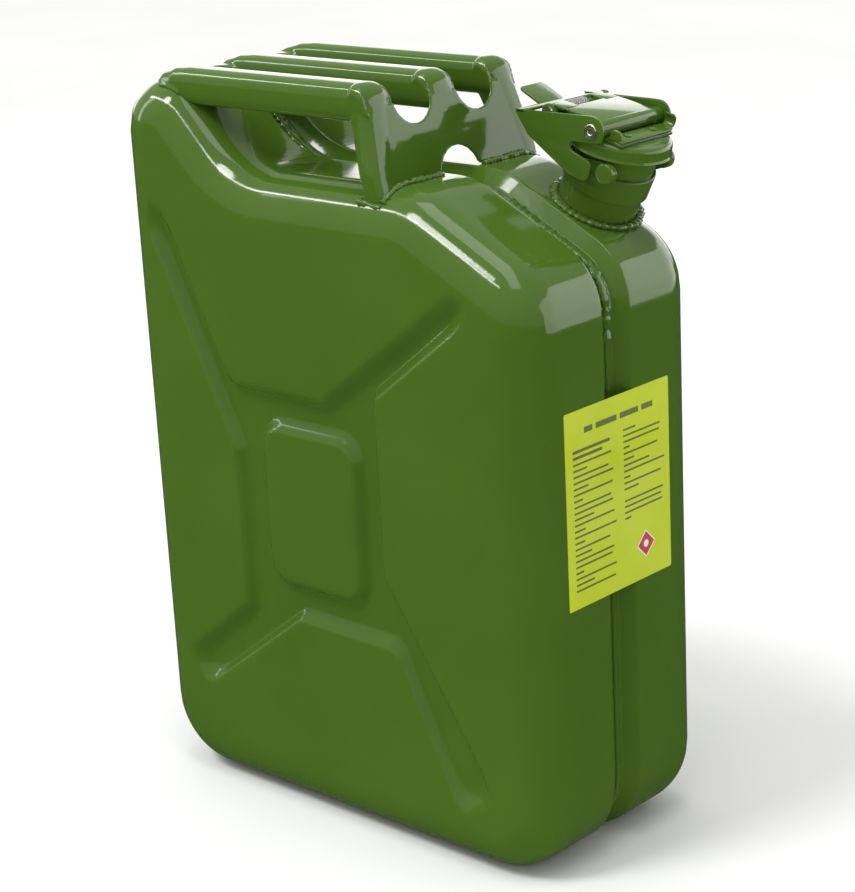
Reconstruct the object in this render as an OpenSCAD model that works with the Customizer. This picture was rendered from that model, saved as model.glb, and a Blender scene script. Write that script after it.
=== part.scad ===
// Twenty-litre steel jerry can with three carrying bars and a cam-locked hinged spout lid.
// X runs forward to the spout end, Y across the thickness, Z up. The base rests on Z = 0.

/* [Body] */
// Length of the can, rear face to front face
body_l = 345; // [335:1:360]
// Thickness of the can across the two pressed halves
body_w = 165; // [160:1:175]
// Height of the rear air hump
hump_h = 476; // [470:1:490]
// Height of the flat top under the carrying bars
deck_h = 424; // [418:1:430]
// Sheet thickness of the two halves
sheet = 0.9; // [0.8:0.1:1.5]
// Radius between the big faces and the narrow faces
edge_r = 30; // [28:1:30]
// Radius of the bottom corners
foot_r = 50; // [40:1:60]

/* [Seam] */
// Depth of the groove in which the halves are welded
groove_d = 8; // [6:1:10]
// Half width of the groove at its mouth
groove_w = 12; // [10:1:14]

/* [Handle] */
// Outside diameter of a carrying bar
bar_d = 24; // [20:1:26]
// Distance between neighbouring bars
bar_pitch = 56; // [52:1:58]
// Height of the bar axes
bar_z = 472; // [470:1:476]
// Sheet thickness of the handle
handle_t = 1.5; // [1.2:0.1:2]
// Where the front plate stands on the deck
plate_x = 56; // [50:1:60]
// Backward lean of the front plate
plate_lean = 15; // [8:1:18]

/* [Neck] */
// Outside diameter of the neck
neck_d = 50; // [46:1:52]
// Wall of the neck
neck_t = 1.6; // [1.2:0.1:2]
// Sideways place of the neck and the closure
neck_y = 45; // [42:1:46]
// Where the neck axis leaves the shoulder
neck_x = 123.5; // [122:0.5:125]

/* [Closure] */
// Outside diameter of the lid cap
cap_d = 61.6; // [61:0.1:61.8]
// Forward tilt of the lid cap
cap_tilt = 15; // [14:1:16]
// Depth of the cap's skirt
skirt_h = 9; // [7:0.5:9]
// Diameter of the lid hinge pin
hinge_d = 5; // [4:0.5:5]
// Outside diameter of the hollow lever pin
lever_pin_d = 6; // [5:0.5:6]
// Radial running clearance of both pins
run_gap = 0.05; // [0.02:0.01:0.1]
// Sheet thickness of the cam lever
lever_t = 1.8; // [1.5:0.1:2]

/* [Label] */
// Width of the sticker
label_w = 100; // [90:1:102]
// Height of the sticker
label_h = 123; // [110:1:130]

/* [Hidden] */
$fn = 48;

eps = 0.01;
paint = "olivedrab";
bright = "gainsboro";

// Outline of the can in the XZ plane, anticlockwise: x, z, corner radius
shoulder_slope = atan(0.5);
shoulder_x = 78;
front_z = deck_h - (body_l / 2 - shoulder_x) * tan(shoulder_slope);
hump_x = -123;
scoop_x = hump_x + (hump_h - deck_h);
outline = [
    [-body_l / 2, 0, foot_r],
    [body_l / 2, 0, foot_r],
    [body_l / 2, front_z, 45],
    [shoulder_x, deck_h, 60],
    [scoop_x, deck_h, 70],
    [hump_x, hump_h, 33],
    [-body_l / 2, hump_h, 33]
];

// Half section of the wall, measured sideways from the seam
seam_gap = 1.5;
groove_floor = 5;
flat_y = body_w / 2 - edge_r;

// Handle
plate_half_w = 73;
plate_top_half_w = 69;
plate_top = bar_z - deck_h;
scallop_r = (bar_pitch - bar_d) / 2;
seam_arch_r = 17;
wing_depth = 15;
rear_plate_x0 = -152;
rear_plate_x1 = -108;
bar_rear_x = -140;
weld = 5;

// Neck: its axis stands square on the shoulder
neck_r = neck_d / 2;
neck_z = deck_h - (neck_x - shoulder_x) * tan(shoulder_slope);
neck_below = 9;
neck_step = 21;
neck_low_r = neck_r - neck_t - 0.6;
lip_from = 40;
lip_t = 1.1;
neck_above = 60;
collar_t = 2;
collar_from = 16;
collar_to = 32;

// Cap frame: the middle of the cap's top face
cap_x = 145.5;
cap_z = 447;
cap_r = cap_d / 2;
cap_t = 1.2;
gasket_t = 3.5;
gasket_r = 27.5;
retainer_r = 19.5;
skirt_cut = 16;
rivet_y = 12;
rivet_u = 12;
rivet_r = 1.6;
foot_t = 2;
strap_t = 1.6;
strap_front = 18;
strap_rear = 7.4;

// Pins in the XZ plane
hinge = [111, 460];
lever_axis = [147.4, 452.5];
barrel_t = 2;
ear_in = 25.4;
ear_out = 27.4;
lug_out = 31.1;
cheek_in = 31.4;
cheek_out = cheek_in + lever_t;
knuckle_in = 12;
knuckle_out = 25;
lug = [154, 427.3];
lug_r = 6.2;

// Breather tube
vent_r = 4;
vent_wall = 0.8;
vent_off = 18.4;
vent_low = 388;
vent_rear_x = -142;
vent_top = 462;
vent_bend = 20;

label_y = -2;
label_z = 238.5;
label_t = 0.3;

// ---------- path helpers: points are [x, z, radius] ----------
function cut2(p) = [p[0], p[1]];
function unit(v) = v / norm(v);
function turn(a, b) = atan2(a[0] * b[1] - a[1] * b[0], a * b);
function left(a) = [-a[1], a[0]];
function at(path, i) = path[(i + len(path)) % len(path)];
function dir_in(path, i) = unit(cut2(at(path, i)) - cut2(at(path, i - 1)));
function dir_out(path, i) = unit(cut2(at(path, i + 1)) - cut2(at(path, i)));
function bend_of(path, i) = turn(dir_in(path, i), dir_out(path, i));
function reach(path, i) = at(path, i)[2] * tan(abs(bend_of(path, i)) / 2);
function bend_start(path, i) = cut2(at(path, i)) - dir_in(path, i) * reach(path, i);
function bend_end(path, i) = cut2(at(path, i)) + dir_out(path, i) * reach(path, i);
function bend_centre(path, i) =
    bend_start(path, i) + left(dir_in(path, i)) * at(path, i)[2] * sign(bend_of(path, i));
function heading(v) = atan2(v[1], v[0]);

// The outline moved inwards by d, with each bend in a few steps
function inset(path, d, steps = 8) = [
    for (i = [0:len(path) - 1])
        let (b = bend_of(path, i), s = sign(b), c = bend_centre(path, i),
             r = at(path, i)[2] - s * d, a0 = heading(dir_in(path, i)) - s * 90)
            for (k = [0:steps]) c + r * [cos(a0 + b * k / steps), sin(a0 + b * k / steps)]
];

// Points at depth d and sideways place y all round the outline
function ring_at(path, d, y) = [for (p = inset(path, d)) [p[0], y, p[1]]];

// A closed skin through a list of rings: capped at both ends, or joined end to end
module loft(rings, cyclic = false) {
    n = len(rings);
    m = len(rings[0]);
    last = cyclic ? n - 1 : n - 2;
    skin = [for (i = [0:last]) for (j = [0:m - 1])
        let (a = i * m, b = (i + 1) % n * m, k = (j + 1) % m) [a + j, b + j, b + k, a + k]];
    caps = cyclic ? [] : [[for (j = [0:m - 1]) j], [for (j = [m - 1:-1:0]) (n - 1) * m + j]];
    polyhedron([for (r = rings) each r], concat(skin, caps), convexity = 10);
}

// Places a flat XZ drawing between two Y values
module slab(y0, y1) {
    translate([0, y1, 0]) rotate([90, 0, 0]) linear_extrude(y1 - y0) children();
}

// Frames
module neck_frame() {
    translate([neck_x, neck_y, neck_z]) rotate([0, shoulder_slope, 0]) children();
}

module cap_frame() {
    translate([cap_x, neck_y, cap_z]) rotate([0, cap_tilt, 0]) children();
}

module both_sides() {
    translate([0, neck_y, 0]) {
        children();
        mirror([0, 1, 0]) children();
    }
}

// ---------- shells ----------
// Half section of the wall from the seam to the big face, as [depth, y], grown inwards by t
function wall_section(t) = [
    [groove_d + t, seam_gap], [groove_d + t, groove_floor], [t, groove_w + t / 2],
    for (a = [0:10:90]) [edge_r - (edge_r - t) * cos(a), flat_y + (edge_r - t) * sin(a)]
];

module half_shell() {
    outer = [for (p = wall_section(0)) ring_at(outline, p[0], p[1])];
    inner = [for (p = wall_section(sheet)) ring_at(outline, p[0], p[1])];
    loft(concat([for (i = [len(inner) - 1:-1:0]) inner[i]], outer));
}

module left_half_shell() {
    color(paint) mirror([0, 1, 0]) half_shell();
}

module right_half_shell() {
    hole_gap = 0.2;
    color(paint) difference() {
        half_shell();
        neck_frame() translate([0, 0, -2 * neck_below])
            cylinder(r = neck_r + hole_gap, h = 3 * neck_below);
    }
}

module seam_weld() {
    low = groove_d + sheet;
    crown = 1.4;
    section = [[low, -seam_gap], [low, seam_gap], [groove_d, seam_gap],
               [groove_d - crown, 0.6], [groove_d - crown, -0.6], [groove_d, -seam_gap]];
    color(paint) loft([for (p = section) ring_at(outline, p[0], p[1])], cyclic = true);
}

// ---------- handle ----------
// Everything inside the hump, its rear sheet and behind the front plate's rear face
module bar_limits() {
    top = hump_h + handle_t;
    run_down = 60;
    slab(-body_w, body_w) polygon([
        [-body_l, top - run_down], [-body_l, top], [hump_x, top], [hump_x + run_down, top - run_down]
    ]);
    plate_frame() translate([-body_w, -50, -handle_t]) cube([2 * body_w, 200, 80]);
}

// Drawing plane of the front plate: x across, y up the plate, z forward
module plate_frame() {
    translate([plate_x, 0, deck_h]) rotate([0, -plate_lean, 0]) rotate([90, 0, 90]) children();
}

module handle_bar(y) {
    front_x = plate_x;
    color(paint) difference() {
        translate([bar_rear_x, y, bar_z]) rotate([0, 90, 0]) difference() {
            cylinder(d = bar_d, h = front_x - bar_rear_x);
            translate([0, 0, -eps]) cylinder(d = bar_d - 2 * handle_t, h = front_x - bar_rear_x + 1);
        }
        bar_limits();
    }
}

module handle_bar_left() { handle_bar(-bar_pitch); }
module handle_bar_centre() { handle_bar(0); }
module handle_bar_right() { handle_bar(bar_pitch); }

// The can's top under the handle, as a solid that the plates are trimmed with
module deck_block(x0, x1) {
    depth = 40;
    translate([x0, -flat_y, deck_h - depth]) cube([x1 - x0, 2 * flat_y, depth]);
    for (s = [-1, 1]) translate([x0, s * flat_y, deck_h - edge_r]) rotate([0, 90, 0])
        cylinder(r = edge_r, h = x1 - x0);
}

module handle_front_plate() {
    rise = plate_top / cos(plate_lean);
    drop = 20;
    color(paint) difference() {
        union() {
            plate_frame() translate([0, 0, -handle_t]) linear_extrude(handle_t) difference() {
                union() {
                    polygon([[-plate_half_w, -drop], [plate_half_w, -drop], [plate_half_w, 0],
                             [plate_top_half_w, rise], [-plate_top_half_w, rise], [-plate_half_w, 0]]);
                    for (k = [-1, 0, 1]) translate([k * bar_pitch, rise]) circle(bar_d / 2);
                }
                for (s = [-1, 1]) translate([s * bar_pitch / 2, rise]) circle(scallop_r);
                translate([0, -2]) circle(seam_arch_r);
            }
            for (s = [-1, 1]) plate_frame()
                translate([s * (plate_half_w - handle_t / 2), -drop, -wing_depth])
                    translate([-handle_t / 2, 0, 0]) cube([handle_t, drop + rise - 22, wing_depth]);
        }
        deck_block(0, shoulder_x);
    }
}

module handle_rear_plate() {
    color(paint) difference() {
        translate([rear_plate_x0, -plate_top_half_w, hump_h])
            cube([hump_x - rear_plate_x0, 2 * plate_top_half_w, handle_t]);
        for (s = [-1, 1]) translate([hump_x + 2, s * bar_pitch / 2, hump_h - 1])
            cylinder(r = scallop_r, h = 4);
        for (s = [-1, 1]) translate([rear_plate_x0 - 1, s * (plate_top_half_w + 12), hump_h - 1])
            rotate([0, 0, s * 14]) translate([0, -12, 0]) cube([60, 24, 4]);
    }
}

module handle_front_weld() {
    x_face = plate_x;
    color(paint) for (s = [-1, 1]) mirror([0, s > 0 ? 0 : 1, 0])
        slab(seam_arch_r + 3, flat_y) polygon([
            [x_face + eps, deck_h], [x_face + weld, deck_h],
            [x_face - weld * sin(plate_lean) + eps, deck_h + weld * cos(plate_lean)]
        ]);
}

module handle_rear_weld() {
    bead = 3;
    color(paint) for (s = [-1, 1]) mirror([0, s > 0 ? 0 : 1, 0])
        slab(groove_w + 1, flat_y) polygon([
            [rear_plate_x0, hump_h], [rear_plate_x0, hump_h + handle_t], [rear_plate_x0 - bead, hump_h]
        ]);
}

// ---------- neck ----------
module below_rim() {
    side = 160;
    cap_frame() translate([-side / 2, -side / 2, -cap_t - gasket_t]) cube([side, side, side]);
}

module neck_tube() {
    color(paint) difference() {
        neck_frame() translate([0, 0, -neck_below]) difference() {
            cylinder(r = neck_r, h = neck_below + neck_above);
            translate([0, 0, -1]) cylinder(r = neck_low_r, h = neck_below + neck_above + 2);
            translate([0, 0, neck_below + neck_step]) cylinder(r = neck_r - neck_t, h = neck_above);
            translate([0, 0, neck_below + lip_from]) cylinder(r = neck_r - lip_t, h = neck_above);
        }
        below_rim();
    }
}

module neck_weld() {
    color(paint) neck_frame() rotate_extrude()
        polygon([[neck_r, 0], [neck_r + weld, 0], [neck_r + weld / 2, weld / 3], [neck_r, weld]]);
}

module neck_bracket() {
    color(paint) {
        neck_frame() translate([0, 0, collar_from]) difference() {
            cylinder(r = neck_r + collar_t, h = collar_to - collar_from);
            translate([0, 0, -1]) cylinder(r = neck_r, h = collar_to - collar_from + 2);
        }
        both_sides() {
            difference() {
                slab(ear_in, ear_out) union() {
                    translate(hinge) circle(5.5);
                    polygon([hinge + [-4.5, -3], hinge + [17, -37], lug + [-8, -9], lug + [0, -lug_r],
                             lug + [0, lug_r], hinge + [19, -24], hinge + [16, -19], hinge + [5, 0]]);
                }
                translate([hinge[0], 0, hinge[1]]) rotate([-90, 0, 0])
                    cylinder(d = hinge_d, h = 2 * ear_out);
            }
            translate([lug[0], ear_in, lug[1]]) rotate([-90, 0, 0])
                cylinder(r = lug_r, h = lug_out - ear_in);
        }
    }
}

module hinge_pin() {
    head = 1.6;
    color(bright) translate([hinge[0], neck_y, hinge[1]]) {
        rotate([90, 0, 0]) cylinder(d = hinge_d, h = 2 * ear_out, center = true);
        for (s = [-1, 1]) translate([0, s * (ear_out + head / 2), 0]) rotate([90, 0, 0])
            cylinder(r = 4, h = head, center = true);
    }
}

// Torsion spring round the hinge pin: one leg hangs behind the neck, one lies under the carrier
module hinge_spring() {
    wire = 0.7;
    coil_r = 3.9;
    turns = 6.75;
    pitch = 2.2;
    steps = 16;
    sides = 8;
    low_leg = 9;
    front_leg = 13;
    half = turns * pitch / 2;
    n = turns * steps;
    // A ring of the wire at angle a, y along the pin, moved by a leg's [x, z]
    function wire_ring(a, y, leg) = [for (j = [0:sides - 1])
        let (r = coil_r + wire * cos(360 * j / sides))
            [r * cos(a) + leg[0], y + wire * sin(360 * j / sides), r * sin(a) + leg[1]]];
    coil = [for (k = [0:n]) wire_ring(360 * k / steps, pitch * k / steps - half, [0, 0])];
    color(bright) translate([hinge[0], neck_y, hinge[1]])
        loft(concat([wire_ring(0, -half, [0, -low_leg])], coil, [wire_ring(270, half, [front_leg, 0])]));
}

// ---------- breather ----------
function along_neck(s, m) = [neck_x, neck_z] + s * [sin(shoulder_slope), cos(shoulder_slope)]
    + m * [-cos(shoulder_slope), sin(shoulder_slope)];

vent_start = along_neck(neck_step - 2, vent_off);
vent_turn_x = vent_start[0] - (vent_start[1] - vent_low) * tan(shoulder_slope);

// One ring of points round the breather's route, square on the middle of each bend step
function vent_ring(p, heading, r) = [for (j = [0:15])
    let (a = 22.5 * j) [p[0] - r * cos(a) * sin(heading), r * sin(a), p[1] + r * cos(a) * cos(heading)]];

module breather_tube() {
    route = [[vent_start[0], vent_start[1], 0], [vent_turn_x, vent_low, vent_bend],
             [vent_rear_x, vent_low, vent_bend], [vent_rear_x, vent_top, 0]];
    steps = 8;
    stations = [
        [cut2(route[0]), heading(dir_out(route, 0))],
        for (i = [1, 2]) for (k = [0:steps])
            let (b = bend_of(route, i), h = heading(dir_in(route, i)), s = sign(b))
                [bend_centre(route, i) + vent_bend * [cos(h - s * 90 + b * k / steps),
                                                      sin(h - s * 90 + b * k / steps)],
                 h + b * k / steps],
        [cut2(route[3]), heading(dir_in(route, 3))]
    ];
    outer = [for (p = stations) vent_ring(p[0], p[1], vent_r)];
    inner = [for (i = [len(stations) - 1:-1:0]) vent_ring(stations[i][0], stations[i][1], vent_r - vent_wall)];
    color(paint) translate([0, neck_y, 0]) loft(concat(outer, inner), cyclic = true);
}

module breather_clip() {
    color(paint) neck_frame() translate([0, 0, 4]) difference() {
        intersection() {
            cylinder(r = neck_low_r, h = 8);
            translate([-neck_r, -7, -1]) cube([12, 14, 10]);
        }
        translate([-vent_off, 0, -1]) cylinder(r = vent_r, h = 10);
    }
}

// ---------- lid ----------
module rivet_places() {
    for (s = [-1, 1]) translate([rivet_u, s * rivet_y, 0]) children();
}

module lid_cap() {
    color(paint) cap_frame() difference() {
        translate([0, 0, -skirt_h]) cylinder(r = cap_r, h = skirt_h);
        translate([0, 0, -skirt_h - 1]) cylinder(r = cap_r - cap_t, h = skirt_h - cap_t + 1);
        translate([-2 * cap_r - skirt_cut, -cap_r, -skirt_h - 1]) cube([2 * cap_r, 2 * cap_r, skirt_h - cap_t + 1]);
        rivet_places() translate([0, 0, -cap_t - 1]) cylinder(r = rivet_r, h = cap_t + 2, $fn = 24);
    }
}

module lid_gasket() {
    color("dimgray") cap_frame() translate([0, 0, -cap_t - gasket_t]) difference() {
        cylinder(r = gasket_r, h = gasket_t);
        translate([0, 0, -1]) cylinder(r = retainer_r, h = gasket_t + 2);
    }
}

module gasket_retainer() {
    color(paint) cap_frame() translate([0, 0, -cap_t - gasket_t]) difference() {
        cylinder(r = retainer_r, h = gasket_t);
        rivet_places() translate([0, 0, -1]) cylinder(r = rivet_r, h = gasket_t + 2, $fn = 24);
    }
}

module lid_carrier() {
    hinge_r = hinge_d / 2 + run_gap;
    pin_r = lever_pin_d / 2 + run_gap;
    out_r = max(hinge_r, pin_r) + barrel_t;
    along = unit(lever_axis - hinge);
    color(paint) difference() {
        union() {
            translate([0, neck_y, 0]) {
                for (s = [0, 1]) mirror([0, s, 0]) slab(knuckle_in, knuckle_out)
                    union() {
                        translate(hinge) circle(out_r);
                        polygon([hinge + left(along) * out_r, hinge + left(along) * (out_r - barrel_t),
                                 hinge + along * 12 + left(along) * (out_r - barrel_t),
                                 hinge + along * 12 + left(along) * out_r]);
                    }
                slab(-knuckle_out, knuckle_out) polygon([
                    hinge + along * 9 + left(along) * out_r,
                    hinge + along * 9 + left(along) * (out_r - barrel_t),
                    lever_axis + left(along) * (out_r - barrel_t), lever_axis + left(along) * out_r
                ]);
                slab(-cheek_in + 0.5, cheek_in - 0.5) translate(lever_axis) circle(out_r);
            }
            cap_frame() translate([0.5, -knuckle_out, 0])
                cube([strap_front - 0.5, 2 * knuckle_out, foot_t]);
        }
        translate([hinge[0], 0, hinge[1]]) rotate([-90, 0, 0]) cylinder(r = hinge_r, h = 2 * body_w);
        translate([lever_axis[0], 0, lever_axis[1]]) rotate([-90, 0, 0])
            cylinder(r = pin_r, h = 2 * body_w);
        cap_frame() rivet_places() translate([0, 0, -1]) cylinder(r = rivet_r, h = foot_t + 1 + eps, $fn = 24);
    }
}

module lid_strap() {
    tab_w = 7;
    color(paint) cap_frame() translate([0, 0, foot_t]) difference() {
        union() {
            translate([strap_rear, -knuckle_out, 0]) cube([strap_front - strap_rear, 2 * knuckle_out, strap_t]);
            translate([strap_rear, knuckle_out - eps, 0]) cube([tab_w, 5, strap_t]);
            translate([strap_rear, knuckle_out + 5 - strap_t, 0]) cube([tab_w, strap_t, 6]);
            translate([strap_rear + 2, -knuckle_out, 0]) cube([6, strap_t, 5]);
        }
        rivet_places() translate([0, 0, -1]) cylinder(r = rivet_r, h = strap_t + 2, $fn = 24);
    }
}

module lid_rivet(s) {
    low = -cap_t - gasket_t;
    high = foot_t + strap_t + 0.4;
    color(paint) cap_frame() translate([rivet_u, s * rivet_y, low])
        cylinder(r = rivet_r, h = high - low, $fn = 24);
}

module lid_rivet_left() { lid_rivet(-1); }
module lid_rivet_right() { lid_rivet(1); }

// ---------- cam lever ----------
module cheek_outline() {
    top = 461.5;
    translate(lever_axis) circle(top - lever_axis[1]);
    polygon([[99, top], lever_axis + [0, top - lever_axis[1]], lever_axis + [5.5, -6.8], [131.5, 445.5],
             [131, 440], [147, 433.2], [142, 421.4], [129, 426], [98.5, 447]]);
}

module cam_lever() {
    top = 461.5;
    web_front = 97;
    tab_half = 11;
    tab_rise = 28;
    tab_l = 20;
    web_rear = 90;
    color(paint) difference() {
        union() {
            both_sides() slab(cheek_in, cheek_out) cheek_outline();
            translate([web_rear, neck_y - cheek_out, top - lever_t])
                cube([web_front - web_rear, 2 * cheek_out, lever_t]);
            both_sides() slab(cheek_in, cheek_out)
                polygon([[web_rear, top], [99.5, top], [99, 452], [web_rear, top - lever_t]]);
            translate([web_rear + 1, neck_y, top - lever_t]) rotate([0, tab_rise, 0])
                translate([-tab_l, -tab_half, 0]) cube([tab_l, 2 * tab_half, lever_t]);
        }
        translate([lever_axis[0], 0, lever_axis[1]]) rotate([-90, 0, 0])
            cylinder(d = lever_pin_d, h = 2 * body_w);
        translate([118, 0, 450.5]) rotate([-90, 0, 0]) cylinder(r = 1.5, h = neck_y);
    }
}

module lever_pin() {
    flare = 1.2;
    color(bright) translate([lever_axis[0], neck_y, lever_axis[1]]) rotate([90, 0, 0]) difference() {
        union() {
            cylinder(d = lever_pin_d, h = 2 * cheek_out, center = true);
            for (s = [-1, 1]) translate([0, 0, s * (cheek_out + flare / 2)])
                cylinder(d = lever_pin_d + 3, h = flare, center = true);
        }
        cylinder(d = lever_pin_d - 2.4, h = 4 * cheek_out, center = true);
    }
}

// ---------- label ----------
module warning_label() {
    color("yellowgreen") translate([body_l / 2, label_y - label_w / 2, label_z - label_h / 2])
        cube([label_t, label_w, label_h]);
}

left_half_shell();
right_half_shell();
seam_weld();
handle_bar_left();
handle_bar_centre();
handle_bar_right();
handle_front_plate();
handle_rear_plate();
handle_front_weld();
handle_rear_weld();
neck_tube();
neck_weld();
neck_bracket();
hinge_pin();
hinge_spring();
breather_tube();
breather_clip();
lid_cap();
lid_gasket();
gasket_retainer();
lid_carrier();
lid_strap();
lid_rivet_left();
lid_rivet_right();
cam_lever();
lever_pin();
warning_label();
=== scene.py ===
"""A 20 litre pressed steel fuel can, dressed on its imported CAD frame. Lengths here are in millimetres
until mesh_piece() turns them into metres."""

import math

import bmesh
import bpy
import numpy as np
from mathutils import Matrix, Vector, noise


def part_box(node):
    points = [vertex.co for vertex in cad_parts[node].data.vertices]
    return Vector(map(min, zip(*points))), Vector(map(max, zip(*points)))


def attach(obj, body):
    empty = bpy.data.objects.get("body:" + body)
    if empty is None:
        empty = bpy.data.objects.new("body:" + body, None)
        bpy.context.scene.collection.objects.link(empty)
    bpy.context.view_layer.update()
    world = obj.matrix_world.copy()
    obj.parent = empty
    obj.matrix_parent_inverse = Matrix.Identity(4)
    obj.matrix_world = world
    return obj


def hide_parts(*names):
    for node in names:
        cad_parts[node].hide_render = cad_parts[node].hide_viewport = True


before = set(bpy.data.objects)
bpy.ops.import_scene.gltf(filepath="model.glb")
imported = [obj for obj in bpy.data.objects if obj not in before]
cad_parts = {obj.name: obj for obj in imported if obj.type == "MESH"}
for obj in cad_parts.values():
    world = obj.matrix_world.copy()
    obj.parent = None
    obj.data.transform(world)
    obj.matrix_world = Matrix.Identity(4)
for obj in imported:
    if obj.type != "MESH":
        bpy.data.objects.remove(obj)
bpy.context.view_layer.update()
MM = 0.001


def box_mm(node):
    """A CAD node's lowest and highest corners, in millimetres."""
    low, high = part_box(node)
    return [v / MM for v in low], [v / MM for v in high]


# ---------------------------------------------------------------- camera, floor and light
def build_camera():
    azimuth, elevation, roll = math.radians(43.59), math.radians(18.22), math.radians(-3.1)
    distance, aim = 1.526, Vector((0, 0, 0.22))
    away = Vector((
        math.cos(elevation) * math.sin(azimuth),
        -math.cos(elevation) * math.cos(azimuth),
        math.sin(elevation),
    ))
    data = bpy.data.cameras.new("camera")
    data.sensor_fit = "HORIZONTAL"
    data.sensor_width = 36
    data.lens = 98.6
    data.shift_x = 0.0184
    data.shift_y = 0.029
    camera = bpy.data.objects.new("camera", data)
    bpy.context.scene.collection.objects.link(camera)
    turn = away.to_track_quat("Z", "Y").to_matrix().to_4x4()
    camera.matrix_world = Matrix.Translation(aim + away * distance) @ turn @ Matrix.Rotation(roll, 4, "Z")
    bpy.context.scene.camera = camera


def area_light(name, at, aim, size, power):
    data = bpy.data.lights.new(name, "AREA")
    data.shape = "RECTANGLE"
    data.size, data.size_y = size
    data.energy = power
    light = bpy.data.objects.new(name, data)
    light.location = at
    light.rotation_euler = (Vector(at) - Vector(aim)).to_track_quat("Z", "Y").to_euler()
    bpy.context.scene.collection.objects.link(light)


def strip_light(name, start, end, width, power):
    """A light from start to end that only shows as a reflection."""
    start, end = Vector(start), Vector(end)
    long, centre = end - start, (start + end) / 2
    data = bpy.data.lights.new(name, "AREA")
    data.shape = "RECTANGLE"
    data.size, data.size_y = long.length, width
    data.energy = power
    light = bpy.data.objects.new(name, data)
    across = long.normalized()
    back = (centre - Vector((0, 0, 0.3))).normalized()
    back = (back - across * back.dot(across)).normalized()
    turn = Matrix((across, back.cross(across), back)).transposed().to_4x4()
    light.matrix_world = Matrix.Translation(centre) @ turn
    light.visible_diffuse = False
    bpy.context.scene.collection.objects.link(light)


def build_studio():
    scene = bpy.context.scene
    scene.view_settings.view_transform = "Standard"
    world = bpy.data.worlds.new("studio")
    scene.world = world
    world.use_nodes = True
    nodes, links = world.node_tree.nodes, world.node_tree.links
    coords = nodes.new("ShaderNodeTexCoord")
    split = nodes.new("ShaderNodeSeparateXYZ")
    ramp = nodes.new("ShaderNodeValToRGB")
    links.new(coords.outputs["Generated"], split.inputs[0])
    links.new(split.outputs["Z"], ramp.inputs[0])
    links.new(ramp.outputs["Color"], nodes["Background"].inputs["Color"])
    stops = ramp.color_ramp.elements
    stops[0].position, stops[0].color = 0.0, (0.08, 0.08, 0.07, 1)
    stops[1].position, stops[1].color = 0.9, (1.0, 1.0, 1.0, 1)
    for place, grey in ((0.03, 0.66), (0.3, 0.8), (0.6, 0.9)):
        stops.new(place).color = (grey, grey, 0.96 * grey, 1)
    nodes["Background"].inputs["Strength"].default_value = 0.85
    area_light("overhead", (0.3, -0.2, 2.4), (0, 0, 0.3), (0.7, 2.0), 15)
    area_light("left", (-2.2, -1.0, 1.3), (0, 0, 0.3), (0.3, 1.6), 7)
    strip_light("edge_strip", (-1.8, -0.5, 1.7), (0.3, -1.5, 2.1), 0.1, 17)
    strip_light("backdrop", (-3.2, 0.6, 0.95), (0.3, 3.2, 0.95), 1.3, 36)
    strip_light("front_softbox", (2.5, 0.3, 0.75), (0.3, 2.5, 0.75), 1.4, 40)
    key = bpy.data.lights.new("key", "SUN")
    key.energy = 1.4
    key.angle = math.radians(16)
    sun = bpy.data.objects.new("key", key)
    sun.rotation_euler = Vector((-0.35, -0.75, 1.35)).to_track_quat("Z", "Y").to_euler()
    scene.collection.objects.link(sun)


def build_floor():
    half = 8
    data = bpy.data.meshes.new("floor")
    corners = [(-half, -half, 0), (half, -half, 0), (half, half, 0), (-half, half, 0)]
    data.from_pydata(corners, [], [(0, 1, 2, 3)])
    floor = bpy.data.objects.new("floor", data)
    bpy.context.scene.collection.objects.link(floor)
    floor.data.materials.append(floor_material())
    floor.visible_glossy = False


# ---------------------------------------------------------------- materials
def new_material(name):
    material = bpy.data.materials.new(name)
    material.use_nodes = True
    tree = material.node_tree
    return material, tree, tree.nodes["Principled BSDF"]


def noise_texture(tree, scale, detail=3.0, stretch=None):
    """A noise texture in the object's own coordinates; scale is per metre."""
    coords = tree.nodes.new("ShaderNodeTexCoord")
    source = coords.outputs["Object"]
    if stretch:
        mapping = tree.nodes.new("ShaderNodeMapping")
        mapping.inputs["Scale"].default_value = stretch
        tree.links.new(source, mapping.inputs["Vector"])
        source = mapping.outputs["Vector"]
    texture = tree.nodes.new("ShaderNodeTexNoise")
    texture.inputs["Scale"].default_value = scale
    texture.inputs["Detail"].default_value = detail
    tree.links.new(source, texture.inputs["Vector"])
    return texture.outputs["Fac"]


def ramp_between(tree, value, low, high, start=0.3, end=0.7):
    """A colour ramp on value from colour low to colour high."""
    ramp = tree.nodes.new("ShaderNodeValToRGB")
    stops = ramp.color_ramp.elements
    stops[0].position, stops[0].color = start, (*low, 1)
    stops[1].position, stops[1].color = end, (*high, 1)
    tree.links.new(value, ramp.inputs[0])
    return ramp.outputs["Color"]


def range_of(tree, value, low, high):
    """value from 0.3..0.7 moved to low..high."""
    node = tree.nodes.new("ShaderNodeMapRange")
    node.inputs["From Min"].default_value = 0.3
    node.inputs["From Max"].default_value = 0.7
    node.inputs["To Min"].default_value = low
    node.inputs["To Max"].default_value = high
    tree.links.new(value, node.inputs["Value"])
    return node.outputs["Result"]


def add_bump(tree, shader, height, strength, distance):
    bump = tree.nodes.new("ShaderNodeBump")
    bump.inputs["Strength"].default_value = strength
    bump.inputs["Distance"].default_value = distance
    tree.links.new(height, bump.inputs["Height"])
    tree.links.new(bump.outputs["Normal"], shader.inputs["Normal"])


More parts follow.
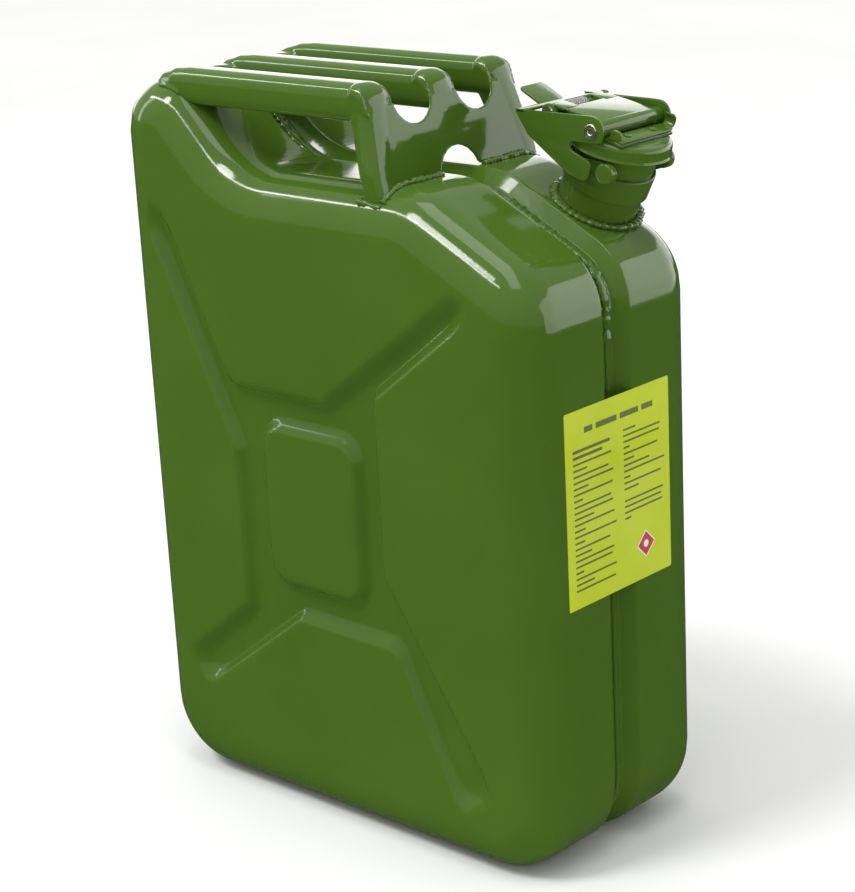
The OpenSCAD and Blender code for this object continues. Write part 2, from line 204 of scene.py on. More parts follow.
def paint_material(name, dark, light, roughness=(0.07, 0.14)):
    """Gloss enamel on steel: slight shade drift, orange peel and patches that are less glossy."""
    material, tree, shader = new_material(name)
    drift = noise_texture(tree, 9, 4)
    tree.links.new(ramp_between(tree, drift, dark, light), shader.inputs["Base Color"])
    tree.links.new(range_of(tree, noise_texture(tree, 30, 6), *roughness), shader.inputs["Roughness"])
    shader.inputs["Specular IOR Level"].default_value = 0.27
    shader.inputs["Coat Weight"].default_value = 0.12
    shader.inputs["Coat Roughness"].default_value = 0.03
    add_bump(tree, shader, noise_texture(tree, 260, 2), 0.05, 0.0006)
    return material


def metal_material(name, dark, light, roughness, scratch=(1, 1, 1)):
    material, tree, shader = new_material(name)
    tree.links.new(ramp_between(tree, noise_texture(tree, 160, 4, scratch), dark, light),
                   shader.inputs["Base Color"])
    gloss = range_of(tree, noise_texture(tree, 300, 5, scratch), *roughness)
    tree.links.new(gloss, shader.inputs["Roughness"])
    shader.inputs["Metallic"].default_value = 1.0
    add_bump(tree, shader, noise_texture(tree, 900, 3, scratch), 0.12, 0.0002)
    return material


def rubber_material():
    material, tree, shader = new_material("black_rubber")
    tree.links.new(ramp_between(tree, noise_texture(tree, 60), (0.012, 0.012, 0.012), (0.03, 0.03, 0.03)),
                   shader.inputs["Base Color"])
    tree.links.new(range_of(tree, noise_texture(tree, 120), 0.55, 0.75), shader.inputs["Roughness"])
    add_bump(tree, shader, noise_texture(tree, 1500), 0.2, 0.0003)
    return material


def sticker_material(name, dark, light):
    material, tree, shader = new_material(name)
    tree.links.new(ramp_between(tree, noise_texture(tree, 18, 4), dark, light), shader.inputs["Base Color"])
    tree.links.new(range_of(tree, noise_texture(tree, 25, 3), 0.3, 0.5), shader.inputs["Roughness"])
    add_bump(tree, shader, noise_texture(tree, 90, 2), 0.08, 0.0008)
    return material


def floor_material():
    material, tree, shader = new_material("pale_floor")
    tree.links.new(ramp_between(tree, noise_texture(tree, 2), (0.82, 0.82, 0.82), (0.86, 0.86, 0.86)),
                   shader.inputs["Base Color"])
    shader.inputs["Roughness"].default_value = 0.8
    shader.inputs["Specular IOR Level"].default_value = 0.1
    return material


# ---------------------------------------------------------------- mesh tools
def mesh_piece(name, verts, faces, material, body, *replaced, slot="green_paint", sharp=40):
    """A closed piece from millimetre points, with its faces turned outwards, riding on a CAD body."""
    data = bpy.data.meshes.new(name)
    points = [tuple(MM * float(c) for c in v) for v in verts]
    data.from_pydata(points, [], [tuple(map(int, f)) for f in faces])
    grid = bmesh.new()
    grid.from_mesh(data)
    bmesh.ops.remove_doubles(grid, verts=grid.verts, dist=1e-6)
    bmesh.ops.recalc_face_normals(grid, faces=grid.faces)
    grid.to_mesh(data)
    grid.free()
    piece = bpy.data.objects.new(name, data)
    bpy.context.scene.collection.objects.link(piece)
    for each in material if isinstance(material, (list, tuple)) else [material]:
        data.materials.append(each)
    smooth(piece, sharp)
    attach(piece, body)
    if replaced:
        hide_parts(*replaced)
    return piece


def smooth(piece, sharp):
    piece.data.polygons.foreach_set("use_smooth", [True] * len(piece.data.polygons))
    piece.data.set_sharp_from_angle(angle=math.radians(sharp))


def modify(piece, kind, **settings):
    """Adds a modifier and applies it to the mesh."""
    modifier = piece.modifiers.new(kind.lower(), kind)
    for key, value in settings.items():
        setattr(modifier, key, value)
    bpy.context.view_layer.update()
    result = bpy.data.meshes.new_from_object(piece.evaluated_get(bpy.context.evaluated_depsgraph_get()))
    piece.modifiers.clear()
    old, piece.data = piece.data, result
    result.name = piece.name
    bpy.data.meshes.remove(old)


def soften(piece, width, sharp=40, segments=3):
    """Rounds the sharp edges of a piece by width millimetres."""
    modify(piece, "BEVEL", width=width * MM, segments=segments, limit_method="ANGLE",
           angle_limit=math.radians(35), harden_normals=False)
    smooth(piece, sharp)


def skin(rings, cyclic=False):
    """Verts and faces of a surface through closed rings; open ends are capped."""
    count = len(rings[0])
    verts = [p for ring in rings for p in ring]
    faces = []
    for i in range(len(rings) if cyclic else len(rings) - 1):
        a, b = i * count, (i + 1) % len(rings) * count
        faces += [(a + j, a + (j + 1) % count, b + (j + 1) % count, b + j) for j in range(count)]
    if not cyclic:
        faces += [tuple(range(count)), tuple(range((len(rings) - 1) * count, len(rings) * count))]
    return verts, faces


def joined(*parts):
    """Several (verts, faces) as one."""
    verts, faces = [], []
    for v, f in parts:
        faces += [tuple(i + len(verts) for i in face) for face in f]
        verts += list(v)
    return verts, faces


def slab(outline, low, high, place):
    """A flat outline [(u, v)] given thickness from low to high, with place(u, v, w) as its frame."""
    rings = [[place(u, v, w) for u, v in outline] for w in (low, high)]
    return skin(rings)


def lathe(profile, place, steps=64):
    """A closed profile [(r, height)] turned round the w axis of place; r stays above 0."""
    rings = []
    for i in range(steps):
        a = 2 * math.pi * i / steps
        rings.append([place(r * math.cos(a), r * math.sin(a), h) for r, h in profile])
    return skin(rings, cyclic=True)


def arc(cx, cy, r, start, end, steps):
    """Points on an arc, in degrees."""
    turns = np.radians(np.linspace(start, end, steps + 1))
    return [(cx + r * math.cos(t), cy + r * math.sin(t)) for t in turns]


def rounded(points, radii, steps=5, cyclic=False):
    """A polyline or polygon with each corner rounded by its radius."""
    result = []
    count = len(points)
    for i, (point, r) in enumerate(zip(points, radii)):
        p = np.array(point, float)
        if r <= 0 or (not cyclic and i in (0, count - 1)):
            result.append(tuple(p))
            continue
        a, b = np.array(points[i - 1], float) - p, np.array(points[(i + 1) % count], float) - p
        la, lb = np.linalg.norm(a), np.linalg.norm(b)
        a, b = a / la, b / lb
        half = math.acos(max(-1, min(1, float(a @ b)))) / 2
        reach = min(r / math.tan(half), la * 0.49, lb * 0.49)
        r = reach * math.tan(half)
        middle = p + (a + b) / np.linalg.norm(a + b) * r / math.sin(half)
        start, end = p + a * reach - middle, p + b * reach - middle
        full = math.pi - 2 * half
        for k in range(steps + 1):
            t = k / steps
            w0, w1 = math.sin((1 - t) * full) / math.sin(full), math.sin(t * full) / math.sin(full)
            result.append(tuple(middle + start * w0 + end * w1))
    return result


def bead(path, radius, rough, sides=10, pitch=3.2, flat=0.75, cyclic=False):
    """A weld bead along a path: ripples at a pitch, and a slightly uneven width."""
    points = [Vector(p) for p in path]
    rings, run = [], 0.0
    for i, p in enumerate(points):
        before = points[i - 1] if i or cyclic else p
        after = points[(i + 1) % len(points)] if i < len(points) - 1 or cyclic else p
        along = (after - before).normalized()
        side = along.cross(Vector((0, 0, 1)))
        side = side.normalized() if side.length > 0.1 else Vector((0, 1, 0))
        up = side.cross(along)
        run += (p - before).length
        ripple = 1 + rough * (0.55 * math.sin(2 * math.pi * run / pitch) + 1.2 * noise.noise(p * 0.35))
        rings.append([])
        for j in range(sides):
            a = 2 * math.pi * j / sides
            lump = 1 + 0.6 * rough * noise.noise(p * 0.9 + Vector((j * 2.1, 0, 0)))
            rings[-1].append(p + (side * math.cos(a) + up * math.sin(a) * flat) * radius * ripple * lump)
    return skin(rings, cyclic)


# ---------------------------------------------------------------- the can's outline
shell_low, shell_high = box_mm("left_half_shell")
HALF_L, BODY_Y, HUMP_Z = shell_high[0], -shell_low[1], shell_high[2]
DECK_Z = 424
EDGE_R = 30
FLAT_Y = BODY_Y - EDGE_R
GROOVE_D, GROOVE_MOUTH, GROOVE_FLOOR = 8, 12, 5
SLOPE = math.atan(0.5)
SHOULDER_X = 78
HUMP_X = -123
HUMP_BEND_R = 33
OUTLINE = [
    (-HALF_L, 0, 50), (HALF_L, 0, 50), (HALF_L, DECK_Z - (HALF_L - SHOULDER_X) * math.tan(SLOPE), 45),
    (SHOULDER_X, DECK_Z, 60), (HUMP_X + HUMP_Z - DECK_Z, DECK_Z, 70), (HUMP_X, HUMP_Z, HUMP_BEND_R),
    (-HALF_L, HUMP_Z, HUMP_BEND_R),
]


def outline_bends():
    """For each corner: centre, radius, start and end angles, and +1 where the can bulges."""
    bends = []
    count = len(OUTLINE)
    for i in range(count):
        p = np.array(OUTLINE[i][:2], float)
        a = p - np.array(OUTLINE[i - 1][:2], float)
        b = np.array(OUTLINE[(i + 1) % count][:2], float) - p
        a, b = a / np.linalg.norm(a), b / np.linalg.norm(b)
        turn = math.atan2(a[0] * b[1] - a[1] * b[0], float(a @ b))
        bulge = 1 if turn > 0 else -1
        r = OUTLINE[i][2]
        centre = p - a * r * math.tan(abs(turn) / 2) + bulge * r * np.array([-a[1], a[0]])
        start = math.atan2(a[1], a[0]) - bulge * math.pi / 2
        bends.append((centre, r, start, turn, bulge))
    return bends


def outline_points(step):
    """Points on the outline moved in by EDGE_R, each with its outward normal, step mm apart."""
    bends = outline_bends()
    stations = []
    for i, (centre, r, start, turn, bulge) in enumerate(bends):
        inner = r - bulge * EDGE_R
        count = max(4, math.ceil(abs(turn) * max(inner, r) / (2 * step)))
        for k in range(count + 1):
            a = start + turn * k / count
            out = np.array([math.cos(a), math.sin(a)])
            stations.append((centre + inner * out, bulge * out))
        after = bends[(i + 1) % len(bends)]
        there = after[0] + (after[1] - after[4] * EDGE_R) * np.array([math.cos(after[2]), math.sin(after[2])])
        here = stations[-1]
        span = np.linalg.norm(there - here[0])
        count = max(1, math.ceil(span / step))
        for k in range(1, count):
            stations.append((here[0] + (there - here[0]) * k / count, here[1]))
    return stations


def split_chains(stations):
    """The stations as a bottom and a top chain, both running from -X to +X."""
    normals = np.array([n for _, n in stations])
    left = [i for i, n in enumerate(normals) if n[0] < -0.9999]
    right = [i for i, n in enumerate(normals) if n[0] > 0.9999]
    left.sort(key=lambda i: stations[i][0][1])
    right.sort(key=lambda i: stations[i][0][1])
    count = len(stations)

    def run(a, b):
        return [stations[i % count] for i in range(a, b + 1 if b >= a else b + count + 1)]

    bottom = run(left[0], right[0])
    top = run(right[-1], left[-1])[::-1]
    return bottom, top


def chain_at(chain, x):
    """Point and normal of a chain at x, between its stations."""
    xs = [p[0] for p, _ in chain]
    i = min(max(int(np.searchsorted(xs, x)), 1), len(xs) - 1)
    (p0, n0), (p1, n1) = chain[i - 1], chain[i]
    t = 0 if p1[0] == p0[0] else (x - p0[0]) / (p1[0] - p0[0])
    n = n0 + (n1 - n0) * t
    return p0 + (p1 - p0) * t, n / np.linalg.norm(n)


# ---------------------------------------------------------------- the pressed cross on the big faces
PRESS_DEPTH = 6.5
PRESS_BEVEL = 9.5
PANELS = [
    [(-240, 623), (-80, 294), (-74, 290), (4, 289.5), (104, 363.5), (240, 464)],
    [(190, -147), (56, 130), (50, 134), (-27, 135), (-128, 60.5), (-260, -37)],
    [(-280, 660), (-79, 242), (-79, 137), (-260, -3)],
    [(250, 450), (51, 296), (51, 182), (190, -27)],
]
PAD = (-11.5, 212, 38, 50, 13)
ARM_ENDS = [(0.8, 0.6, 322), (0.55, -0.835, 31), (-0.8, -0.6, 63), (-0.44, 0.9, 422)]


def polygon_distance(px, pz, polygon):
    """Signed distance to a polygon, negative inside."""
    best = np.full(px.shape, 1e9)
    inside = np.zeros(px.shape, bool)
    for (x0, z0), (x1, z1) in zip(polygon, polygon[1:] + polygon[:1]):
        ex, ez = x1 - x0, z1 - z0
        t = np.clip(((px - x0) * ex + (pz - z0) * ez) / (ex * ex + ez * ez), 0, 1)
        best = np.minimum(best, np.hypot(px - x0 - t * ex, pz - z0 - t * ez))
        crosses = (z0 > pz) != (z1 > pz)
        if ez:
            inside ^= crosses & (px < x0 + (pz - z0) * ex / ez)
    return np.where(inside, -best, best)


def blended_min(a, b, reach):
    h = np.clip(0.5 + 0.5 * (b - a) / reach, 0, 1)
    return b + (a - b) * h - reach * h * (1 - h)


def press(px, pz):
    """How far the big face is pressed in at each point."""
    distance = np.full(px.shape, 99.0)
    for polygon in PANELS:
        distance = blended_min(distance, polygon_distance(px, pz, polygon), 4)
    x, z, half_w, half_h, r = PAD
    qx, qz = np.abs(px - x) - half_w + r, np.abs(pz - z) - half_h + r
    pad = np.hypot(np.maximum(qx, 0), np.maximum(qz, 0)) + np.minimum(np.maximum(qx, qz), 0) - r
    distance = blended_min(distance, pad, 3)
    for ax, az, limit in ARM_ENDS:
        distance = blended_min(distance, 0.55 * (limit - (ax * px + az * pz)), 11)
    s = np.clip((distance + 0.8) / PRESS_BEVEL, 0, 1)
    return PRESS_DEPTH * s * s * (3 - 2 * s)


def wall_section():
    """Half section of the wall as (depth, y), from the big face's edge to the seam."""
    roll = [(EDGE_R - EDGE_R * math.cos(t), FLAT_Y + EDGE_R * math.sin(t))
            for t in np.radians(np.linspace(90, 0, 19))]
    side = [(0, y) for y in (46, 38, 30, 22)]
    groove = rounded([(0, 19), (0, GROOVE_MOUTH + 1.2), (GROOVE_D, GROOVE_FLOOR + 0.2), (GROOVE_D, 0.7)],
                     [0, 3.2, 2.2, 0], 6)
    return roll[1:] + side + groove


def shell_mesh(side):
    """Outer skin of one half: side is -1 or 1."""
    step = 3.0
    bottom, top = split_chains(outline_points(step))
    xs = sorted({round(float(p[0]), 3) for p, _ in bottom + top})
    xs = [xs[0]] + [x for x, before in zip(xs[1:], xs) if x - before > 0.12]
    xs[-1] = round(float(bottom[-1][0][0]), 3)
    low = [bottom[0]] + [chain_at(bottom, x) for x in xs[1:-1]] + [bottom[-1]]
    high = [top[0]] + [chain_at(top, x) for x in xs[1:-1]] + [top[-1]]
    rows = 165
    t = np.linspace(0, 1, rows + 1)[:, None, None]
    field = np.array([p for p, _ in low])[None] * (1 - t) + np.array([p for p, _ in high])[None] * t
    px, pz = field[..., 0], field[..., 1]
    y = BODY_Y - press(px, pz)
    rim = np.minimum(np.minimum(px - px.min(), px.max() - px), np.minimum(pz - 30, field[-1, :, 1] - pz))
    calm = np.clip(rim / 25, 0, 1)
    wave = np.array([noise.noise((a / 85, b / 85, side * 7)) for a, b in zip(px.flat, pz.flat)])
    y = y + calm * 0.35 * wave.reshape(px.shape)
    columns = len(xs)
    verts = [(a, side * b, c) for a, b, c in zip(px.flat, y.flat, pz.flat)]
    faces = [(r * columns + c, r * columns + c + 1, (r + 1) * columns + c + 1, (r + 1) * columns + c)
             for r in range(rows) for c in range(columns - 1)]
    loop = [(c, low[c][1]) for c in range(columns)]
    loop += [(r * columns + columns - 1, np.array([1.0, 0.0])) for r in range(1, rows)]
    loop += [(rows * columns + c, high[c][1]) for c in range(columns - 1, -1, -1)]
    loop += [(r * columns, np.array([-1.0, 0.0])) for r in range(rows - 1, 0, -1)]
    before = [i for i, _ in loop]
    count = len(loop)
    for depth, sideways in wall_section():
        base = len(verts)
        for i, out in loop:
            x, _, z = verts[i]
            verts.append((x + out[0] * (EDGE_R - depth), side * sideways, z + out[1] * (EDGE_R - depth)))
        now = list(range(base, base + count))
        faces += [(before[k], before[(k + 1) % count], now[(k + 1) % count], now[k]) for k in range(count)]
        before = now
    return verts, faces


NECK_AXIS = Vector((math.sin(SLOPE), 0, math.cos(SLOPE)))
NECK_ACROSS = Vector((math.cos(SLOPE), 0, -math.sin(SLOPE)))
NECK_Y = (box_mm("lid_cap")[0][1] + box_mm("lid_cap")[1][1]) / 2
NECK_X = 123.5
NECK_FOOT = Vector((NECK_X, NECK_Y, DECK_Z - (NECK_X - SHOULDER_X) * math.tan(SLOPE)))
NECK_R = 25


def neck_place(u, v, w):
    return NECK_FOOT + NECK_ACROSS * u + Vector((0, v, 0)) + NECK_AXIS * w


def build_shells(paint):
    for side, node in ((-1, "left_half_shell"), (1, "right_half_shell")):
        verts, faces = shell_mesh(side)
        piece = mesh_piece("pressed_" + node, verts, faces, paint, "can", node, sharp=60)
        data = piece.data
        middle = sum((p.normal.y * p.area for p in data.polygons if abs(p.center.y) > 0.06))
        if middle * side < 0:
            data.flip_normals()
        modify(piece, "SOLIDIFY", thickness=0.9 * MM, offset=-1, use_rim=True)
        if side > 0:
            cutter = mesh_piece("cutter", *slab(arc(0, 0, NECK_R + 0.1, 0, 352.5, 47), -24, 12, neck_place),
                                paint, "can")
            modify(piece, "BOOLEAN", operation="DIFFERENCE", object=cutter, solver="EXACT")
            bpy.data.objects.remove(cutter)
        smooth(piece, 50)


def outline_loop(depth, step):
    """The outline at a depth inside the can's edge, as (x, z) points."""
    return [p + n * (EDGE_R - depth) for p, n in outline_points(step)]


def build_seam(paint):
    loop = outline_loop(GROOVE_D - 0.2, 1.4)
    path = [(x, 0, z) for x, z in loop]
    points = [Vector(p) for p in path]
    rings, run = [], 0.0
    for i, p in enumerate(points):
        along = (points[(i + 1) % len(points)] - points[i - 1]).normalized()
        out = Vector((along.z, 0, -along.x))
        run += (p - points[i - 1]).length
        top = p.z > 330 and p.x > -130
        rough = 0.55 if top else 0.22
        swell = 1 + rough * (0.4 * math.sin(2 * math.pi * run / 4.4) + 1.1 * noise.noise(p * 0.22))
        wide = (3.4 if top else 2.4) * swell
        high = (1.9 if top else 1.1) * swell
        ring = []
        for a in np.linspace(0, math.pi, 8):
            lump = 1 + 0.5 * rough * noise.noise(p * 0.6 + Vector((0, a * 3, 0)))
            ring.append(p + out * (high * math.sin(a) * lump) + Vector((0, wide * math.cos(a), 0)))
        ring += [p - out * 1.0 + Vector((0, -1.5, 0)), p - out * 1.0 + Vector((0, 1.5, 0))]
        rings.append(ring)
    mesh_piece("seam_bead", *skin(rings, cyclic=True), paint, "can", "seam_weld", sharp=80)


# ---------------------------------------------------------------- handle
BAR_R, BAR_PITCH, BAR_Z = 12, 56, 472
LEAN = math.radians(15)
SCALLOP_R = (BAR_PITCH - 2 * BAR_R) / 2
PLATE_X = 56
PLATE_T = 1.9
BEND_R = 13
LEG_OUTER = 73.4
BEND_HALF_T = 6.3


def plate_place(u, v, w):
    """The front plate's drawing plane: u across, v up the plate, w forward."""
    return Vector((PLATE_X - v * math.sin(LEAN) + w * math.cos(LEAN), u,
                   DECK_Z + v * math.cos(LEAN) + w * math.sin(LEAN)))


def front_plate():
    """Half outline of the plate from the seam arch to its side, mirrored."""
    rise = (BAR_Z - DECK_Z) / math.cos(LEAN)
    arch = arc(0, -2, 17, 90, 12, 8)
    half = [(0, 15)] + arch[1:] + [(20, 0.4), (52, 0.4), (58, -0.6), (66, -3.6), (71, -9), (71, 4),
                                   (66, rise - 10), (62, rise - 2)]
    half += arc(BAR_PITCH / 2, rise, SCALLOP_R, -6, -174, 18) + [(0, rise - 1.7)]
    return half + [(-u, v) for u, v in half[-2:0:-1]]


def hump_height(x, y):
    """Top of the can's hump, with its rolled edges and its two bends."""
    over = max(0, abs(y) - FLAT_Y)
    drop = EDGE_R - math.sqrt(EDGE_R ** 2 - over ** 2)
    for edge, sign in ((-HALF_L + HUMP_BEND_R, -1), (HUMP_X - HUMP_BEND_R * math.tan(math.pi / 8), 1)):
        past = max(0, sign * (x - edge))
        drop += HUMP_BEND_R - math.sqrt(HUMP_BEND_R ** 2 - past ** 2)
    return HUMP_Z - drop


def rear_plate():
    """The sheet on the hump: three tongues under the bars that join behind them."""
    rear = box_mm("handle_rear_plate")[0][0]
    rings = []
    for y in np.linspace(-69, 69, 93):
        off = min(abs(abs(y) - BAR_PITCH / 2), SCALLOP_R)
        front = HUMP_X - math.sqrt(SCALLOP_R ** 2 - off ** 2) + 2
        back = rear + 14 * max(0, (abs(y) - 50) / 19) ** 2
        xs = np.linspace(back, front, 7)
        rings.append([(x, y, hump_height(x, y) - 0.3) for x in xs]
                     + [(x, y, hump_height(x, y) + PLATE_T) for x in xs[::-1]])
    return skin(rings)


def oval(centre, normal, across, half_wide, half_high, power=2.7, count=28):
    """A rounded-square ring: across is its sideways direction, normal points to its outer side."""
    ring = []
    for t in np.linspace(0, 2 * math.pi, count, endpoint=False):
        c, d = math.cos(t), math.sin(t)
        u = math.copysign(abs(c) ** (2 / power), c) * half_wide
        v = math.copysign(abs(d) ** (2 / power), d) * half_high
        ring.append(centre + across * u + normal * v)
    return ring


def bar_tube(k):
    """Bar k forward from the hump and round its bend onto the plate; -1 and 1 run on down to the deck.
    The rear stations are (x, top, half width, half height, shift towards the centre bar)."""
    side = Vector((0, 1, 0))
    y, top = k * BAR_PITCH, BAR_Z + BAR_R
    rings = []
    rear = [(-153, 474.4, 8, 1.4, 9), (-147, 477, 11, 3, 5), (-139, 480.8, 12.5, 7, 2),
            (-129, 483.4, 12.5, 11.2, 0.5)]
    for x, z, wide, high, inset in rear + [(x, top, BAR_R, BAR_R, 0) for x in range(-118, 13, 10)]:
        rings.append(oval(Vector((x, y - k * inset, z - high)), Vector((0, 0, 1)), side, wide, high))
    corner_v = (top - DECK_Z) / math.cos(LEAN)
    corner = plate_place(0, corner_v, 0)
    turn = math.pi / 2 - LEAN
    reach = BEND_R * math.tan(turn / 2)
    middle = Vector((corner.x - reach, 0, top - BEND_R))
    rings.append([])
    for p in rings[-2]:
        x = corner.x + (top - p.z) * math.tan(LEAN) - 1
        if p.z > middle.z:
            x = min(x, middle.x + math.sqrt(max(0, (BEND_R - 0.6) ** 2 - (p.z - middle.z) ** 2)))
        rings[-1].append(Vector((x, p.y, p.z)))
    tube, rings = skin(rings), []
    steps = 9
    for i in range(steps + 1):
        a = turn * i / steps
        normal = Vector((math.sin(a), 0, math.cos(a)))
        centre = middle + normal * (BEND_R - BEND_HALF_T) + side * y
        rings.append(oval(centre, normal, side, BAR_R, BEND_HALF_T))
    normal = Vector((math.cos(LEAN), 0, math.sin(LEAN)))
    for t in np.linspace(0.08, 1, 10):
        v = (corner_v - reach) * (1 - t) + (-9 if k else 36) * t
        if k:
            wide, high = BAR_R - 3 * math.sqrt(t), 10.2 - 1.7 * t
            spread = min(1, 1.5 * t)
            centre = plate_place(k * (BAR_PITCH * (1 - spread) + (LEG_OUTER - wide) * spread), v, 0.4 - high)
        else:
            wide, high = BAR_R, 0.9 + 5.4 * (1 - t) ** 2
            centre = plate_place(0, v, 0.1 - high)
        rings.append(oval(centre, normal, side, wide, high))
    return joined(tube, skin(rings))


def build_handle(paint):
    parts = [bar_tube(k) for k in (-1, 0, 1)]
    parts.append(slab(front_plate(), -PLATE_T, 0, plate_place))
    parts.append(rear_plate())
    handle = mesh_piece("handle_stamping", *joined(*parts), paint, "can", "handle_bar_left",
                        "handle_bar_centre", "handle_bar_right", "handle_front_plate", "handle_rear_plate")
    modify(handle, "REMESH", mode="VOXEL", voxel_size=0.85 * MM, adaptivity=0)
    modify(handle, "SMOOTH", factor=0.5, iterations=7)
    smooth(handle, 80)

    def deck_height(y):
        over = max(0, abs(y) - FLAT_Y)
        return DECK_Z - EDGE_R + math.sqrt(max(0, EDGE_R ** 2 - over ** 2))

    beads = []
    for side in (-1, 1):
        path = [Vector((PLATE_X + 1.4, side * y, deck_height(y) + 0.6)) for y in np.arange(19, 73, 1.1)]
        beads.append(bead(path, 2.3, 0.5))
        foot = [Vector((PLATE_X + 1 - 21 * t, side * (74 - 1.5 * t), deck_height(74) - 1 + 2 * t))
                for t in np.linspace(0, 1, 12)]
        beads.append(bead(foot, 2.2, 0.7))
    mesh_piece("handle_front_bead", *joined(*beads), paint, "can", "handle_front_weld", sharp=80)
    rear = box_mm("handle_rear_plate")[0][0]
    beads = []
    for side in (-1, 1):
        path = [Vector((rear + 0.3, y, hump_height(rear, y) + 0.5)) for y in side * np.arange(15, 50, 1.1)]
        beads.append(bead(path, 1.9, 0.6))
    mesh_piece("handle_rear_bead", *joined(*beads), paint, "can", "handle_rear_weld", sharp=80)


# ---------------------------------------------------------------- neck and bracket
def xz_place(y0):
    return lambda u, v, w: Vector((u, y0 + w, v))


HINGE = (111, 460)
LEVER_PIN = (147.4, 452.5)
LUG = (154, 427.3)


def build_neck(paint):
    ring = [neck_place(27 * math.cos(a), 27 * math.sin(a), 0.8) for a in np.radians(np.arange(0, 360, 2.4))]
    mesh_piece("neck_bead", *bead(ring, 3.1, 0.34, pitch=4.2, flat=0.6, cyclic=True), paint, "can",
               "neck_weld", sharp=80)
    collar = lathe(rounded([(NECK_R, 16), (NECK_R + 2, 16), (NECK_R + 2, 32), (NECK_R, 32)],
                           [0.2, 0.7, 0.7, 0.2], 3, cyclic=True), neck_place, 72)
    parts = [collar]
    h, g = np.array(HINGE), np.array(LUG)
    ear = arc(*HINGE, 5.5, 60, 215, 14)
    ear += [tuple(h + (13, -30)), tuple(h + (17, -38)), tuple(g + (-9, -9)), tuple(g + (-1, -6.2))]
    ear += arc(*LUG, 6.2, -80, 70, 12) + [tuple(h + (19, -24)), tuple(h + (16, -19)), tuple(h + (6, -1))]
    for side in (-1, 1):
        parts.append(slab(ear, 25.4, 27.4, lambda u, v, w, s=side: Vector((u, NECK_Y + s * w, v))))
        knob = arc(LUG[0], LUG[1], 6.2, 0, 348, 29)
        parts.append(slab(knob, 27.0, 31.0, lambda u, v, w, s=side: Vector((u, NECK_Y + s * w, v))))
    bracket = mesh_piece("closure_bracket", *joined(*parts), paint, "can", "neck_bracket")
    soften(bracket, 0.6)


# ---------------------------------------------------------------- lid
CAP_TILT = math.radians(15)
CAP_TOP = Vector((145.5, NECK_Y, 447))
CAP_R = 30.8


def cap_place(u, v, w):
    return CAP_TOP + Vector((u * math.cos(CAP_TILT) + w * math.sin(CAP_TILT), v,
                             -u * math.sin(CAP_TILT) + w * math.cos(CAP_TILT)))


def build_lid(paint):
    outer = rounded([(0.2, 0.25), (22, 0.25), (24, 0), (CAP_R - 0.5, 0), (CAP_R - 0.2, -7.6),
                     (CAP_R + 0.5, -9)], [0, 2, 2, 4.2, 1.5, 0], 6)
    inner = rounded([(CAP_R - 0.5, -9.2), (CAP_R - 1.3, -7.8), (CAP_R - 1.6, -1.2), (0.2, -1.2)],
                    [0, 1, 3, 0], 6)
    mesh_piece("cap_disc", *lathe(outer + inner, cap_place, 96), paint, "lid", "lid_cap", sharp=50)

    along = (np.array(LEVER_PIN) - HINGE) / np.linalg.norm(np.array(LEVER_PIN) - HINGE)
    up = np.array([-along[1], along[0]])
    out_r = 5.05

    def on_top(s, h):
        return tuple(np.array(HINGE) + along * s + up * h)

    lever_s = float(np.linalg.norm(np.array(LEVER_PIN) - HINGE))
    parts = []

    def y_slab(outline, low, high):
        parts.append(slab(outline, NECK_Y + low, NECK_Y + high, xz_place(0)))

    for low, high in ((-25, -12), (12, 25)):
        tube = arc(*HINGE, out_r, 0, 345, 23)
        y_slab(tube, low, high)
        y_slab([on_top(0, out_r), on_top(0, out_r - 2), on_top(12, out_r - 2), on_top(12, out_r)], low, high)
    y_slab([on_top(9, out_r), on_top(9, out_r - 2), on_top(lever_s, out_r - 2), on_top(lever_s, out_r)],
           -25, 25)
    y_slab(arc(*LEVER_PIN, out_r, 0, 348, 29), -30.8, 30.8)
    parts.append(slab([(0.5, -25), (18, -25), (18, 25), (0.5, 25)], 0, 2, cap_place))
    carrier = mesh_piece("lid_carrier_plate", *joined(*parts), paint, "lid", "lid_carrier")
    soften(carrier, 0.5)

    parts = []
    base = [(7.4, -25), (18, -25), (18, 20), (16.5, 26), (14.4, 29), (7.4, 29)]
    parts.append(slab(base, 2, 3.6, cap_place))
    ear = rounded([(8.4, 3), (8.4, 9), (16.4, 9), (16.4, 3)], [0, 3.9, 3.9, 0], 6)
    parts.append(slab(ear, -25.2, -23.4, lambda u, v, w: cap_place(u, w, v)))
    rings = []
    for t in np.radians(np.linspace(-90, 70, 12)):
        v, w = 27.5 + 3.0 * math.cos(t), 2.8 + 3.8 + 3.8 * math.sin(t)
        dv, dw = 0.8 * math.cos(t), 0.8 * math.sin(t)
        half = 3.6 if t < 0.6 else 3.2
        rings.append([cap_place(11 - half, v - dv, w - dw), cap_place(11 + half, v - dv, w - dw),
                      cap_place(11 + half, v + dv, w + dw), cap_place(11 - half, v + dv, w + dw)])
    parts.append(skin(rings))
    strap = mesh_piece("finger_strap", *joined(*parts), paint, "lid", "lid_strap")
    soften(strap, 0.45)

    for side, node in ((-1, "lid_rivet_left"), (1, "lid_rivet_right")):
        profile = [(0.15, -4.7), (1.55, -4.7), (1.55, 3.6), (2.5, 3.65), (2.35, 4.25), (1.5, 4.4), (0.9, 3.9),
                   (0.15, 3.75)]
        mesh_piece("dimple_rivet_" + ("near", "far")[side > 0], *lathe(
            profile, lambda u, v, w, s=side: cap_place(12 + u, s * 12 + v, w), 32), paint, "lid", node)


